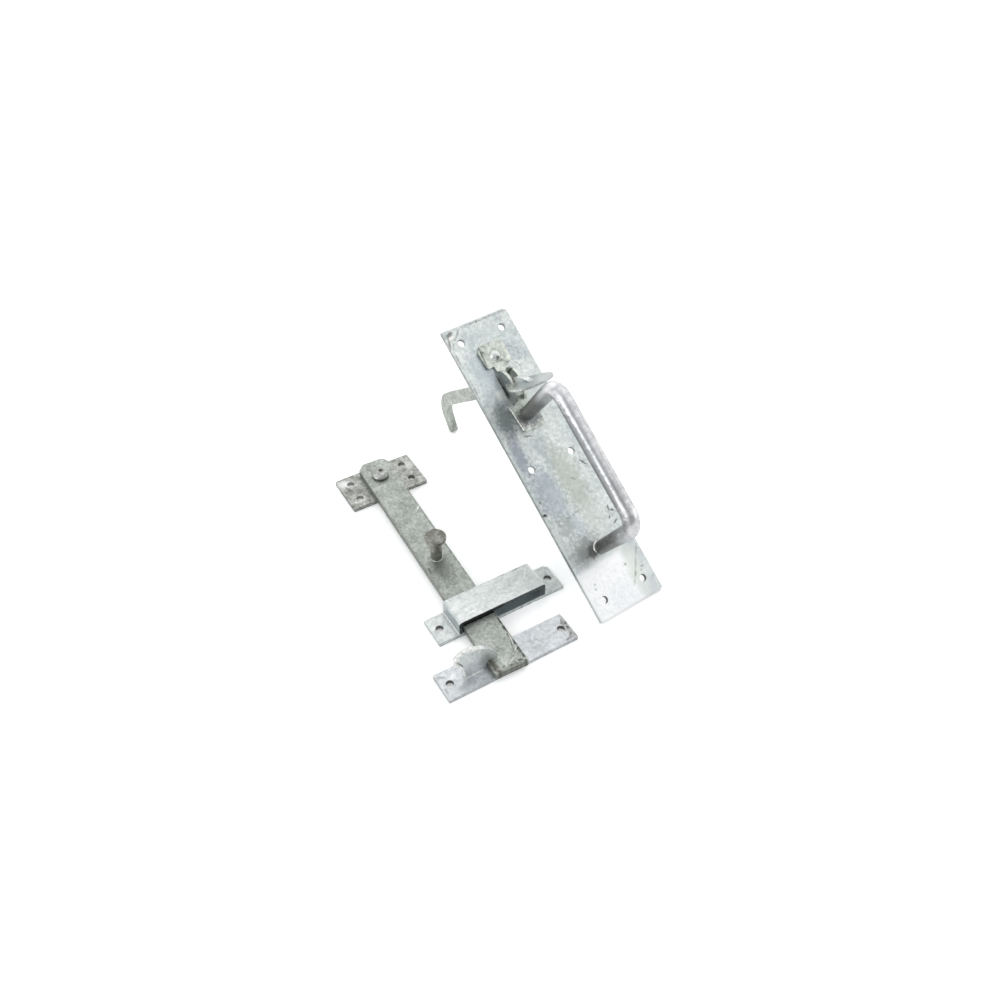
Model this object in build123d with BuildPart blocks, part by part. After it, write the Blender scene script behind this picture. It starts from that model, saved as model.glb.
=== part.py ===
from build123d import *

import os
from math import asin, atan2, cos, hypot, radians, sin, tan

# Suffolk latch for a gate, laid out on a bench as a set: the handle plate with its thumb lever
# leans back on the hook of the lever, and the bar lies across its pivot plate, guide and keep.
# Millimetres. +Z is up, X runs along the fixing strips, and the origin is on the bench under
# the middle of the set.

# Screw holes, the same in every plate
SCREW_HOLE = 5.0

# Handle plate: a flat with two rows of three holes
PLATE_WIDTH = 50.0
PLATE_LENGTH = 209.0
PLATE_THICK = 3.0
PLATE_HOLE_ROWS = 31.5
PLATE_HOLE_END = 11.3
PLATE_CLIP = 2.0
EDGE_ROUND = 0.5

# Pull handle: a bent round bar with tapered legs
FOOT_BELOW_PIN = 19.8
BOTTOM_FOOT = 41.0
GRIP_RISE = 51.0
FOOT_DIAMETER = 9.0
GRIP_DIAMETER = 10.5
ELBOW_BEND = 10.5
TENON_DIAMETER = 6.6

# Riveted ends are hammered into countersinks and finished flush with the back of each plate
COUNTERSINK = 1.2

# Thumb bracket: one sheet piece, a tab at each end and an ear on each side of its slot.
# Heights along the plate are from the pin.
SHEET = 2.0
TOP_TAB_TOP = 32.7
TOP_TAB_SHOULDER = 28.6
TOP_TAB_BASE = 16.6
TOP_TAB_WIDTHS = (14.6, 20.2, 19.0)
BOTTOM_TAB_TOP = -11.8
BOTTOM_TAB_BASE = -30.4
BOTTOM_TAB_WIDTHS = (18.8, 15.8)
TAB_ROUND = 1.6
EAR_START = -10.6
EAR_END = 13.0
EAR_RISE = 9.2
RIVET_ABOVE_PIN = 23.4
RIVET_SHANK = 4.6
RIVET_HEAD = 7.8
RIVET_DOME = 2.4
RIVET_NIB = 1.8

# Thumb lever: a flat blade with an oval thumb pad in front and a hooked tail behind
BLADE_THICK = 4.0
BLADE_DEPTH = 9.4
BLADE_GAP = 0.5
PIN_DOWN = 51.0
PIN_OUT = 5.5
PIN_DIAMETER = 3.2
PIN_HEAD = 4.6
PIN_HEAD_THICK = 0.8
TAIL_LENGTH = 101.8
HOOK_BEND = 13.9
HOOK_DROP = 25.12
TIP_TAPER = 2.8
TIP_ROUND = 3.0
PRESS_ANGLE = 17.7
RELEASE_ANGLE = 30.0
PAD_WIDTH = 31.6
PAD_DEPTH = 23.2
PAD_THICK = 2.6
PAD_OUT = 21.5
PAD_RISE = 0.0
PAD_DROP = 10.4
PAD_UNDERCUT = 1.3
PAD_UNDERCUT_IN = 4.0
NECK_START = 3.0
NECK_TOP_END = 12.0
NECK_TOP_DROP = 3.9
NECK_RIB_END = 22.0
NECK_RIB_RISE = 2.2
WEB_START = 2.0
WEB_MIDDLE_OUT = 12.0
WEB_MIDDLE_RISE = 3.8
WEB_END = 23.0

# Clearances of what turns
PIVOT_CLEARANCE = 0.08
SLIDE_GAP = 0.3

# Pivot plate: four screw holes and the rivet that the bar turns on
STRIP_THICK = 3.0
PIVOT_PLATE_LENGTH = 56.4
PIVOT_PLATE_WIDTH = 31.6
PIVOT_HOLES_X = 40.0
PIVOT_HOLES_Y = 15.6
PIVOT_SHANK = 6.5
PIVOT_HEAD = 11.8
PIVOT_HEAD_RISE = 2.2
PIVOT_HEAD_EDGE = 0.8
PIVOT_DIMPLE = 1.6
DIMPLE_X = 1.7
DIMPLE_Y = 2.6

# Latch bar and its knob
BAR_WIDTH = 22.0
BAR_THICK = 5.0
BAR_HEEL = 16.3
BAR_REACH = 187.0
HEEL_CLIP = 4.5
HEEL_ROUND = 6.0
BAR_LAY = 1.95
KNOB_OUT = 88.0
KNOB_HEAD = 13.8
KNOB_HEAD_THICK = 2.7
KNOB_SHAFT = 7.4
KNOB_RISE = 20.0
KNOB_TENON = 5.6
KNOB_EDGE = 0.4

# Guide: a strip with a bridge welded on it
GUIDE_OUT = 136.1
GUIDE_LENGTH = 89.8
GUIDE_WIDTH = 20.6
GUIDE_HOLES = 78.8
GUIDE_CLIP = 2.5
BRIDGE_SHEET = 2.8
BRIDGE_OPENING = 56.4
BRIDGE_HEADROOM = 7.4
BRIDGE_INSIDE_ROUND = 0.6
BRIDGE_OUTSIDE_ROUND = 2.0

# Keep: a strip with an upright nib whose nose holds the bar
KEEP_FROM_TOE = 12.4
KEEP_OUT = BAR_REACH - KEEP_FROM_TOE
KEEP_LENGTH = 89.8
KEEP_WIDTH = 20.5
KEEP_HOLES = 77.9
NIB_THICK = 3.0
NIB_OFFSET = 14.6
NIB_BASE = 14.0
NIB_HEIGHT = 24.0
WAIST_OUT = 1.8
WAIST_RISE = 10.8
LIP_OUT = 6.9
LIP_RISE = 19.7
BROW_OUT = 6.2
BROW_RISE = 21.1
BROW_BULGE = 0.6
CREST_IN = 0.6
RAMP_RISE = 18.5
NOSE_REACH = 8.0
NOSE_RISE = 7.5
NOSE_LIP = 0.7
NOTCH_ROUND = 2.7
NIB_TENON = 8.0

# Places on the bench
PIVOT_X = -31.5
PIVOT_Y = 75.66
HANDLE_X = 54.05
HANDLE_Y = -104.34
HANDLE_TURN = 3.98


def vector_along(angle_from_out, base):
    """The direction in the mid plane of a plate that is this far below straight out, in degrees."""
    return base.z_dir * cos(radians(angle_from_out)) - base.y_dir * sin(radians(angle_from_out))


def behind(base, x, y):
    """The plane on the back of a plate at x and y, facing out of the back."""
    return Plane(base.from_local_coords((x, y, 0)), x_dir=base.x_dir, z_dir=-base.z_dir)


def riveted_end(shank_radius):
    """The outline of a shank from its flush riveted end: radius and height of each corner."""
    return [(0, 0), (shank_radius + COUNTERSINK, 0), (shank_radius, COUNTERSINK)]


# The handle plate leans back until the round corner of the hook touches the bench. That corner
# is given from the bottom back edge of the plate: up along the plate, and behind it.
blade_half = BLADE_DEPTH / 2
hook_reach = TAIL_LENGTH + HOOK_BEND
corner_reach = hook_reach + blade_half - TIP_ROUND
corner_drop = HOOK_DROP - TIP_ROUND
press = radians(PRESS_ANGLE)
pin_height = PLATE_THICK + PIN_OUT
pin_up = PLATE_LENGTH - PIN_DOWN
corner_up = pin_up + corner_reach * sin(press) - corner_drop * cos(press)
corner_behind = corner_reach * cos(press) + corner_drop * sin(press) - pin_height
lean = atan2(corner_behind, corner_up) + asin(TIP_ROUND / hypot(corner_up, corner_behind))

turn = radians(HANDLE_TURN)
back = Plane(
    origin=(HANDLE_X, HANDLE_Y, 0),
    x_dir=(cos(turn), sin(turn), 0),
    z_dir=(sin(turn) * sin(lean), -cos(turn) * sin(lean), cos(lean)),
)
front = back.offset(PLATE_THICK)
side = Plane(back.origin, x_dir=back.y_dir, z_dir=back.x_dir)
lever_plane = Plane(
    side.from_local_coords((pin_up, pin_height, 0)),
    x_dir=vector_along(PRESS_ANGLE, back),
    z_dir=-back.x_dir,
)

# The blade sweeps this much of the slot between its pressed and released positions.
slot_width = BLADE_THICK + 2 * BLADE_GAP


def blade_edge(angle, side_sign):
    """How far above the pin one edge of the blade crosses the plate's back, at an angle from out."""
    centre = pin_height * tan(radians(angle))
    return centre + side_sign * (blade_half / cos(radians(angle)) + BLADE_GAP)


slot_top = blade_edge(PRESS_ANGLE, 1)
slot_bottom = blade_edge(PRESS_ANGLE - RELEASE_ANGLE, -1)
slot_length = slot_top - slot_bottom
slot_middle = (slot_top + slot_bottom) / 2
top_foot = pin_up - FOOT_BELOW_PIN
rivet_up = pin_up + RIVET_ABOVE_PIN

with BuildPart() as handle_plate:
    with BuildSketch(back) as plate_outline:
        with Locations((0, PLATE_LENGTH / 2)):
            Rectangle(PLATE_WIDTH, PLATE_LENGTH)
            top_right = plate_outline.vertices().group_by(Axis.Y)[-1].sort_by(Axis.X)[-1]
            chamfer(top_right, length=PLATE_CLIP)
            with GridLocations(PLATE_HOLE_ROWS, PLATE_LENGTH / 2 - PLATE_HOLE_END, 2, 3):
                Circle(SCREW_HOLE / 2, mode=Mode.SUBTRACT)
        with Locations((0, pin_up + slot_middle)):
            Rectangle(slot_width, slot_length, mode=Mode.SUBTRACT)
    extrude(amount=PLATE_THICK)
    for foot_up in (top_foot, BOTTOM_FOOT):
        with Locations(behind(back, 0, foot_up)):
            CounterSinkHole(TENON_DIAMETER / 2, TENON_DIAMETER / 2 + COUNTERSINK, counter_sink_angle=90)
    with Locations(behind(back, 0, rivet_up)):
        CounterSinkHole(RIVET_SHANK / 2, RIVET_SHANK / 2 + COUNTERSINK, counter_sink_angle=90)
handle_plate.part.label = "handle_plate"

with BuildPart() as pull_handle:
    shaft_top = PLATE_THICK + GRIP_RISE - ELBOW_BEND
    legs = [(top_foot, PLATE_THICK + SHEET, -1), (BOTTOM_FOOT, PLATE_THICK, 1)]
    for foot_up, seat, toward in legs:
        with BuildSketch(side):
            with BuildLine():
                corners = riveted_end(TENON_DIAMETER / 2)
                corners += [(TENON_DIAMETER / 2, seat), (FOOT_DIAMETER / 2, seat)]
                corners += [(GRIP_DIAMETER / 2, shaft_top), (0, shaft_top)]
                Polyline([(foot_up + radius, height) for radius, height in corners], close=True)
            make_face()
        revolve(axis=Axis(side.from_local_coords((foot_up, 0, 0)), side.y_dir))
        bend_centre = side.from_local_coords((foot_up + toward * ELBOW_BEND, shaft_top, 0))
        leg_end_centre = side.from_local_coords((foot_up, shaft_top, 0))
        leg_end = Plane(leg_end_centre, x_dir=side.x_dir, z_dir=side.y_dir)
        with BuildSketch(leg_end):
            Circle(GRIP_DIAMETER / 2)
        revolve(axis=Axis(bend_centre, side.z_dir * -toward), revolution_arc=90)
    grip_start = Plane(
        side.from_local_coords((BOTTOM_FOOT + ELBOW_BEND, PLATE_THICK + GRIP_RISE, 0)),
        x_dir=side.y_dir,
        z_dir=side.x_dir,
    )
    with BuildSketch(grip_start):
        Circle(GRIP_DIAMETER / 2)
    extrude(amount=top_foot - BOTTOM_FOOT - 2 * ELBOW_BEND)
pull_handle.part.label = "pull_handle"

with BuildPart() as thumb_bracket:
    neck_half = slot_width / 2 + SHEET
    under_pin = Plane(front.from_local_coords((0, pin_up, 0)), x_dir=front.x_dir, z_dir=front.z_dir)
    with BuildSketch(under_pin) as bracket_outline:
        top_half, shoulder_half, base_half = [width / 2 for width in TOP_TAB_WIDTHS]
        upper_half, lower_half = [width / 2 for width in BOTTOM_TAB_WIDTHS]
        with BuildLine():
            Polyline(
                (0, TOP_TAB_TOP),
                (top_half, TOP_TAB_TOP),
                (shoulder_half, TOP_TAB_SHOULDER),
                (base_half, TOP_TAB_BASE),
                (neck_half, TOP_TAB_BASE),
                (neck_half, BOTTOM_TAB_TOP),
                (upper_half, BOTTOM_TAB_TOP),
                (lower_half, BOTTOM_TAB_BASE),
                (0, BOTTOM_TAB_BASE),
                close=True,
            )
        make_face()
        mirror(about=Plane.YZ)
        outer_corners = [v for v in bracket_outline.vertices() if abs(v.X) > neck_half + TAB_ROUND]
        fillet(outer_corners, radius=TAB_ROUND)
        with Locations((0, slot_middle)):
            Rectangle(slot_width, slot_length, mode=Mode.SUBTRACT)
        with Locations((0, -FOOT_BELOW_PIN)):
            Circle(TENON_DIAMETER / 2, mode=Mode.SUBTRACT)
        with Locations((0, RIVET_ABOVE_PIN)):
            Circle(RIVET_SHANK / 2, mode=Mode.SUBTRACT)
    extrude(amount=SHEET)
    pin_foot = side.from_local_coords((pin_up, PLATE_THICK, 0))
    side_of_pin = Plane(pin_foot, x_dir=side.x_dir, z_dir=side.z_dir)
    for ear_side in (-1, 1):
        with BuildSketch(side_of_pin.offset(ear_side * (slot_width + SHEET) / 2)):
            with BuildLine():
                Polyline((EAR_END, SHEET), (EAR_END, 0), (EAR_START, 0), (EAR_START, SHEET))
                ThreePointArc(
                    (EAR_START, SHEET),
                    ((EAR_START + EAR_END) / 2, SHEET + EAR_RISE),
                    (EAR_END, SHEET),
                )
            make_face()
            with Locations((0, PIN_OUT)):
                Circle(PIN_DIAMETER / 2, mode=Mode.SUBTRACT)
        extrude(amount=SHEET / 2, both=True)
thumb_bracket.part.label = "thumb_bracket"

with BuildPart() as bracket_rivet:
    head_seat = PLATE_THICK + SHEET
    rivet_plane = Plane(side.from_local_coords((rivet_up, 0, 0)), x_dir=side.x_dir, z_dir=side.z_dir)
    with BuildSketch(rivet_plane):
        with BuildLine():
            corners = riveted_end(RIVET_SHANK / 2)
            corners += [(RIVET_SHANK / 2, head_seat), (RIVET_HEAD / 2, head_seat)]
            Polyline(corners)
            apex = (0, head_seat + RIVET_DOME)
            TangentArc(apex, (RIVET_HEAD / 2, head_seat), tangent=(1, 0))
            Line(apex, (0, 0))
        make_face()
    revolve(axis=Axis(rivet_plane.origin, rivet_plane.y_dir))
    with BuildSketch(back.offset(head_seat + RIVET_DOME / 2)):
        with Locations((0, rivet_up)):
            Circle(RIVET_NIB / 2)
    extrude(amount=RIVET_DOME / 2 + RIVET_NIB / 3)
bracket_rivet.part.label = "bracket_rivet"

with BuildPart() as lever_pin:
    pin_half = slot_width / 2 + SHEET
    with BuildSketch(lever_plane):
        Circle(PIN_DIAMETER / 2)
    extrude(amount=pin_half, both=True)
    for pin_side in (-1, 1):
        with BuildSketch(lever_plane.offset(pin_side * (pin_half + PIN_HEAD_THICK / 2))):
            Circle(PIN_HEAD / 2)
        extrude(amount=PIN_HEAD_THICK / 2, both=True)
lever_pin.part.label = "lever_pin"

with BuildPart() as thumb_lever:
    with BuildSketch(lever_plane) as lever_outline:
        with BuildLine():
            neck_top = (NECK_TOP_END, blade_half - NECK_TOP_DROP)
            neck_rib = (NECK_RIB_END, -blade_half + NECK_RIB_RISE)
            bend_centre = (-TAIL_LENGTH, -HOOK_BEND)
            Line(neck_top, neck_rib)
            TangentArc((NECK_START, blade_half), neck_top, tangent=(1, 0))
            Line((NECK_START, blade_half), (-TAIL_LENGTH, blade_half))
            CenterArc(bend_centre, HOOK_BEND + blade_half, 90, 90)
            Polyline(
                (-hook_reach - blade_half, -HOOK_BEND),
                (-hook_reach - blade_half, -HOOK_DROP),
                (-hook_reach + blade_half - TIP_TAPER, -HOOK_DROP),
                (-hook_reach + blade_half, -HOOK_BEND),
            )
            CenterArc(bend_centre, HOOK_BEND - blade_half, 180, -90)
            Line((-TAIL_LENGTH, -blade_half), (NECK_START, -blade_half))
            TangentArc((NECK_START, -blade_half), neck_rib, tangent=(1, 0))
        make_face()
        with BuildLine():
            web_middle = (WEB_MIDDLE_OUT, WEB_MIDDLE_RISE)
            ThreePointArc((WEB_START, blade_half), web_middle, (WEB_END, PAD_RISE))
            Line((WEB_END, PAD_RISE), (WEB_END, PAD_RISE - PAD_THICK / 2))
            Line((WEB_END, PAD_RISE - PAD_THICK / 2), (WEB_START, 0))
            Line((WEB_START, 0), (WEB_START, blade_half))
        make_face()
        fillet(lever_outline.vertices().sort_by(Axis.Y)[:2], radius=TIP_ROUND)
        Circle(PIN_DIAMETER / 2 + PIVOT_CLEARANCE, mode=Mode.SUBTRACT)
    extrude(amount=BLADE_THICK / 2, both=True)
    pad_tilt = radians(PAD_DROP)
    pad_top = Plane(
        lever_plane.from_local_coords((PAD_OUT, PAD_RISE, 0)),
        x_dir=back.x_dir,
        z_dir=lever_plane.y_dir * cos(pad_tilt) + lever_plane.x_dir * sin(pad_tilt),
    )
    with BuildSketch(pad_top):
        Ellipse(PAD_WIDTH / 2, PAD_DEPTH / 2)
    pad = extrude(amount=-PAD_THICK, mode=Mode.PRIVATE)
    pad_underside = pad.edges().sort_by(Axis(pad_top.origin, pad_top.z_dir))[0]
    add(pad.chamfer(PAD_UNDERCUT, PAD_UNDERCUT_IN, [pad_underside]))
thumb_lever.part.label = "thumb_lever"

# The set for the back of the door. The bar lies against one wall of the guide and under the
# nose of the keep, so both take their place from the edge of the bar.
lay = radians(BAR_LAY)
bar_bottom = STRIP_THICK + SLIDE_GAP
bar_top = bar_bottom + BAR_THICK
bar_plane = Plane((PIVOT_X, PIVOT_Y, bar_bottom), x_dir=(-sin(lay), -cos(lay), 0), z_dir=(0, 0, 1))


def bar_edge(out):
    """The x of the bar's near edge at this distance from its pivot, measured along the layout."""
    return PIVOT_X - out * tan(lay) - BAR_WIDTH / 2 / cos(lay)


guide_wall = bar_edge(GUIDE_OUT + GUIDE_WIDTH / 2) - SLIDE_GAP
bridge_x = guide_wall + BRIDGE_OPENING / 2
guide_plane = Plane((bridge_x, PIVOT_Y - GUIDE_OUT, 0))
nib_edge = bar_edge(KEEP_OUT + NIB_THICK / 2) - SLIDE_GAP
keep_plane = Plane((nib_edge + NIB_OFFSET, PIVOT_Y - KEEP_OUT, 0))
pivot_plane = Plane((PIVOT_X, PIVOT_Y, 0))

with BuildPart() as pivot_plate:
    with BuildSketch(pivot_plane):
        RectangleRounded(PIVOT_PLATE_LENGTH, PIVOT_PLATE_WIDTH, EDGE_ROUND)
        with GridLocations(PIVOT_HOLES_X, PIVOT_HOLES_Y, 2, 2):
            Circle(SCREW_HOLE / 2, mode=Mode.SUBTRACT)
    extrude(amount=STRIP_THICK)
    with Locations(behind(pivot_plane, 0, 0)):
        CounterSinkHole(PIVOT_SHANK / 2, PIVOT_SHANK / 2 + COUNTERSINK, counter_sink_angle=90)
pivot_plate.part.label = "pivot_plate"

with BuildPart() as pivot_rivet:
    head_bottom = bar_top + SLIDE_GAP
    upright = Plane(pivot_plane.origin, x_dir=(1, 0, 0), z_dir=(0, -1, 0))
    with BuildSketch(upright):
        with BuildLine():
            corners = riveted_end(PIVOT_SHANK / 2) + [(PIVOT_SHANK / 2, head_bottom)]
            corners += [(PIVOT_HEAD / 2, head_bottom), (PIVOT_HEAD / 2, head_bottom + PIVOT_HEAD_RISE)]
            Polyline(corners + [(0, head_bottom + PIVOT_HEAD_RISE)], close=True)
        make_face()
    revolve(axis=Axis(pivot_plane.origin, (0, 0, 1)))
    rim = pivot_rivet.edges().filter_by(GeomType.CIRCLE).group_by(Axis.Z)[-1]
    chamfer(rim, length=PIVOT_HEAD_EDGE)
    with Locations((PIVOT_X + DIMPLE_X, PIVOT_Y + DIMPLE_Y, head_bottom + PIVOT_HEAD_RISE)):
        from_the_top = (Align.CENTER, Align.CENTER, Align.MAX)
        Cone(0, PIVOT_DIMPLE, PIVOT_DIMPLE, align=from_the_top, mode=Mode.SUBTRACT)
pivot_rivet.part.label = "pivot_rivet"

with BuildPart() as latch_bar:
    with BuildSketch(bar_plane) as bar_outline:
        with Locations(((BAR_REACH - BAR_HEEL) / 2, 0)):
            Rectangle(BAR_HEEL + BAR_REACH, BAR_WIDTH)
        heel_corners = bar_outline.vertices().group_by(Axis.X)[0].sort_by(Axis.Y)
        toe_corners = bar_outline.vertices().group_by(Axis.X)[-1]
        chamfer(heel_corners[0], length=HEEL_CLIP)
        fillet(heel_corners[-1], radius=HEEL_ROUND)
        fillet(toe_corners, radius=EDGE_ROUND)
        Circle(PIVOT_SHANK / 2 + PIVOT_CLEARANCE, mode=Mode.SUBTRACT)
    extrude(amount=BAR_THICK)
    with Locations(behind(bar_plane, KNOB_OUT, 0)):
        CounterSinkHole(KNOB_TENON / 2, KNOB_TENON / 2 + COUNTERSINK, counter_sink_angle=90)
latch_bar.part.label = "latch_bar"

with BuildPart() as bar_knob:
    knob_foot = bar_plane.from_local_coords((KNOB_OUT, 0, 0))
    with BuildSketch(Plane(knob_foot, x_dir=(1, 0, 0), z_dir=(0, -1, 0))):
        with BuildLine():
            shaft_top = BAR_THICK + KNOB_RISE - KNOB_HEAD_THICK
            corners = riveted_end(KNOB_TENON / 2) + [(KNOB_TENON / 2, BAR_THICK)]
            corners += [(KNOB_SHAFT / 2, BAR_THICK), (KNOB_SHAFT / 2, shaft_top)]
            corners += [(KNOB_HEAD / 2, shaft_top)]
            corners += [(KNOB_HEAD / 2, BAR_THICK + KNOB_RISE), (0, BAR_THICK + KNOB_RISE)]
            Polyline(corners, close=True)
        make_face()
    revolve(axis=Axis(knob_foot, (0, 0, 1)))
    head_edges = bar_knob.edges().filter_by(GeomType.CIRCLE).sort_by(Axis.Z)[-2:]
    chamfer(head_edges, length=KNOB_EDGE)
bar_knob.part.label = "bar_knob"

with BuildPart() as guide_plate:
    with BuildSketch(guide_plane) as guide_outline:
        Rectangle(GUIDE_LENGTH, GUIDE_WIDTH)
        far_corner = guide_outline.vertices().group_by(Axis.Y)[-1].sort_by(Axis.X)[-1]
        chamfer(far_corner, length=GUIDE_CLIP)
        with GridLocations(GUIDE_HOLES, 0, 2, 1):
            Circle(SCREW_HOLE / 2, mode=Mode.SUBTRACT)
    extrude(amount=STRIP_THICK)
guide_plate.part.label = "guide_plate"

with BuildPart() as guide_bridge:
    bridge_span = BRIDGE_OPENING + 2 * BRIDGE_SHEET
    bridge_rise = BRIDGE_HEADROOM + BRIDGE_SHEET
    bridge_face = Plane(
        (bridge_x, PIVOT_Y - GUIDE_OUT, STRIP_THICK + bridge_rise / 2), x_dir=(1, 0, 0), z_dir=(0, -1, 0)
    )
    with BuildSketch(bridge_face) as bridge_outline:
        Rectangle(bridge_span, bridge_rise)
        fillet(bridge_outline.vertices().group_by(Axis.Y)[-1], radius=BRIDGE_OUTSIDE_ROUND)
        with Locations((0, -BRIDGE_SHEET / 2)):
            Rectangle(BRIDGE_OPENING, BRIDGE_HEADROOM, mode=Mode.SUBTRACT)
        under_bridge = bridge_rise / 2 - BRIDGE_SHEET
        inner_corners = [v for v in bridge_outline.vertices() if abs(v.Y - under_bridge) < EDGE_ROUND]
        fillet(inner_corners, radius=BRIDGE_INSIDE_ROUND)
    extrude(amount=GUIDE_WIDTH / 2, both=True)
guide_bridge.part.label = "guide_bridge"

with BuildPart() as keep_plate:
    with BuildSketch(keep_plane):
        RectangleRounded(KEEP_LENGTH, KEEP_WIDTH, EDGE_ROUND)
        with GridLocations(KEEP_HOLES, 0, 2, 1):
            Circle(SCREW_HOLE / 2, mode=Mode.SUBTRACT)
        with Locations((-NIB_OFFSET - NIB_BASE / 2, 0)):
            Rectangle(NIB_TENON, NIB_THICK, mode=Mode.SUBTRACT)
    extrude(amount=STRIP_THICK)
keep_plate.part.label = "keep_plate"

with BuildPart() as keep_nib:
    nib_face = Plane((nib_edge, PIVOT_Y - KEEP_OUT, STRIP_THICK), x_dir=(1, 0, 0), z_dir=(0, -1, 0))
    with BuildSketch(nib_face):
        with BuildLine():
            waist = (-NIB_BASE - WAIST_OUT, WAIST_RISE)
            lip = (-NIB_BASE - LIP_OUT, LIP_RISE)
            brow = (-NIB_BASE - BROW_OUT, BROW_RISE)
            crest = (-NIB_BASE + CREST_IN, NIB_HEIGHT)
            above_brow = ((brow[0] + crest[0]) / 2, (brow[1] + crest[1]) / 2 + BROW_BULGE)
            nose = (NOSE_REACH, NOSE_RISE)
            notch_top = NOSE_RISE - NOSE_LIP
            Line((0, 0), (-NIB_BASE, 0))
            Line((-NIB_BASE, 0), waist)
            TangentArc(waist, lip, tangent=(0, 1))
            Line(lip, brow)
            ThreePointArc(brow, above_brow, crest)
            ThreePointArc(crest, (0, RAMP_RISE), nose)
            Line(nose, (NOTCH_ROUND, notch_top))
            TangentArc((NOTCH_ROUND, notch_top), (0, notch_top - NOTCH_ROUND), tangent=(-1, 0))
            Line((0, notch_top - NOTCH_ROUND), (0, 0))
        make_face()
        with Locations((-NIB_BASE / 2, -STRIP_THICK / 2)):
            Rectangle(NIB_TENON, STRIP_THICK)
    extrude(amount=NIB_THICK / 2, both=True)
keep_nib.part.label = "keep_nib"

os.makedirs("parts", exist_ok=True)
export_step(handle_plate.part, "parts/handle_plate.step")
export_step(pull_handle.part, "parts/pull_handle.step")
export_step(thumb_bracket.part, "parts/thumb_bracket.step")
export_step(bracket_rivet.part, "parts/bracket_rivet.step")
export_step(lever_pin.part, "parts/lever_pin.step")
export_step(thumb_lever.part, "parts/thumb_lever.step")
export_step(pivot_plate.part, "parts/pivot_plate.step")
export_step(pivot_rivet.part, "parts/pivot_rivet.step")
export_step(latch_bar.part, "parts/latch_bar.step")
export_step(bar_knob.part, "parts/bar_knob.step")
export_step(guide_plate.part, "parts/guide_plate.step")
export_step(guide_bridge.part, "parts/guide_bridge.step")
export_step(keep_plate.part, "parts/keep_plate.step")
export_step(keep_nib.part, "parts/keep_nib.step")
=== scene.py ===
"""A hot-dip galvanised suffolk latch set, laid out on a white table."""

from math import cos, pi, radians, sin

import bmesh
import bpy
from mathutils import Matrix, Vector, noise


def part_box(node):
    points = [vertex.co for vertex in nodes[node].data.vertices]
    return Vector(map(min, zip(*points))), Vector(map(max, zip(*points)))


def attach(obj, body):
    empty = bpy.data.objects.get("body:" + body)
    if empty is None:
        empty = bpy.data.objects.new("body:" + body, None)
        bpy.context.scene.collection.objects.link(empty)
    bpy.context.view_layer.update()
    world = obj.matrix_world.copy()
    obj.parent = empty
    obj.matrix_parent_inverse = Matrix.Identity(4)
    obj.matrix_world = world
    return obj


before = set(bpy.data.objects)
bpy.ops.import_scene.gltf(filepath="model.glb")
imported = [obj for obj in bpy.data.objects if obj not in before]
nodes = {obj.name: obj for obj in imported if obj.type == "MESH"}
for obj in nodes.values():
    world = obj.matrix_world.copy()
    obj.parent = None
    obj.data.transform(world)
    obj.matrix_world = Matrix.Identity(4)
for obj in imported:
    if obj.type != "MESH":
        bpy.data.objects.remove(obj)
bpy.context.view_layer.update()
MM = 0.001


# ---------------------------------------------------------------- places

def plane_of(origin, x_dir, z_dir):
    """The matrix of a plane: origin in millimetres, its x direction and its normal."""
    z_axis = Vector(z_dir).normalized()
    x_axis = Vector(x_dir).normalized()
    y_axis = z_axis.cross(x_axis)
    turned = Matrix((x_axis, y_axis, z_axis)).transposed().to_4x4()
    return Matrix.Translation(Vector(origin) * MM) @ turned


PLATE_TURN = radians(3.98)
PLATE_LEAN = radians(33.363)
PLATE_FOOT = (54.05, -104.34, 0)
BAR_LAY = radians(1.95)
BAR_PIVOT = (-31.5, 75.66, 3.3)
handle_place = plane_of(
    PLATE_FOOT,
    (cos(PLATE_TURN), sin(PLATE_TURN), 0),
    (sin(PLATE_TURN) * sin(PLATE_LEAN), -cos(PLATE_TURN) * sin(PLATE_LEAN), cos(PLATE_LEAN)),
)
bar_place = plane_of(BAR_PIVOT, (-sin(BAR_LAY), -cos(BAR_LAY), 0), (0, 0, 1))
table_place = Matrix.Identity(4)


# ---------------------------------------------------------------- camera

VIEW_YAW = radians(31.11)
VIEW_PITCH = radians(44.975)
VIEW_DISTANCE = 0.69676
VIEW_TARGET = Vector((0.0321, 0.01866, 0))
LENS = 36
SENSOR_WIDTH = 36
CLIP_START = 0.01
view_line = Vector((
    sin(VIEW_YAW) * cos(VIEW_PITCH), cos(VIEW_YAW) * cos(VIEW_PITCH), -sin(VIEW_PITCH)
))
camera = bpy.data.objects.new("camera", bpy.data.cameras.new("camera"))
camera.data.lens = LENS
camera.data.sensor_width = SENSOR_WIDTH
camera.data.clip_start = CLIP_START
camera.location = VIEW_TARGET - VIEW_DISTANCE * view_line
camera.rotation_euler = view_line.to_track_quat("-Z", "Y").to_euler()
bpy.context.collection.objects.link(camera)
bpy.context.scene.camera = camera


# ---------------------------------------------------------------- node helpers

def tint(code):
    """A written sRGB colour as the linear colour that Blender works in."""
    parts = [int(code[i:i + 2], 16) / 255 for i in (1, 3, 5)]
    return [p / 12.92 if p <= 0.04045 else ((p + 0.055) / 1.055) ** 2.4 for p in parts] + [1]


def add(tree, kind, inputs=None, **settings):
    """Adds a node with its settings, and sets or links its inputs."""
    made = tree.nodes.new(kind)
    for name, value in settings.items():
        setattr(made, name, value)
    for socket, value in (inputs or {}).items():
        if isinstance(value, bpy.types.NodeSocket):
            tree.links.new(value, made.inputs[socket])
        else:
            made.inputs[socket].default_value = value
    return made


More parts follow.
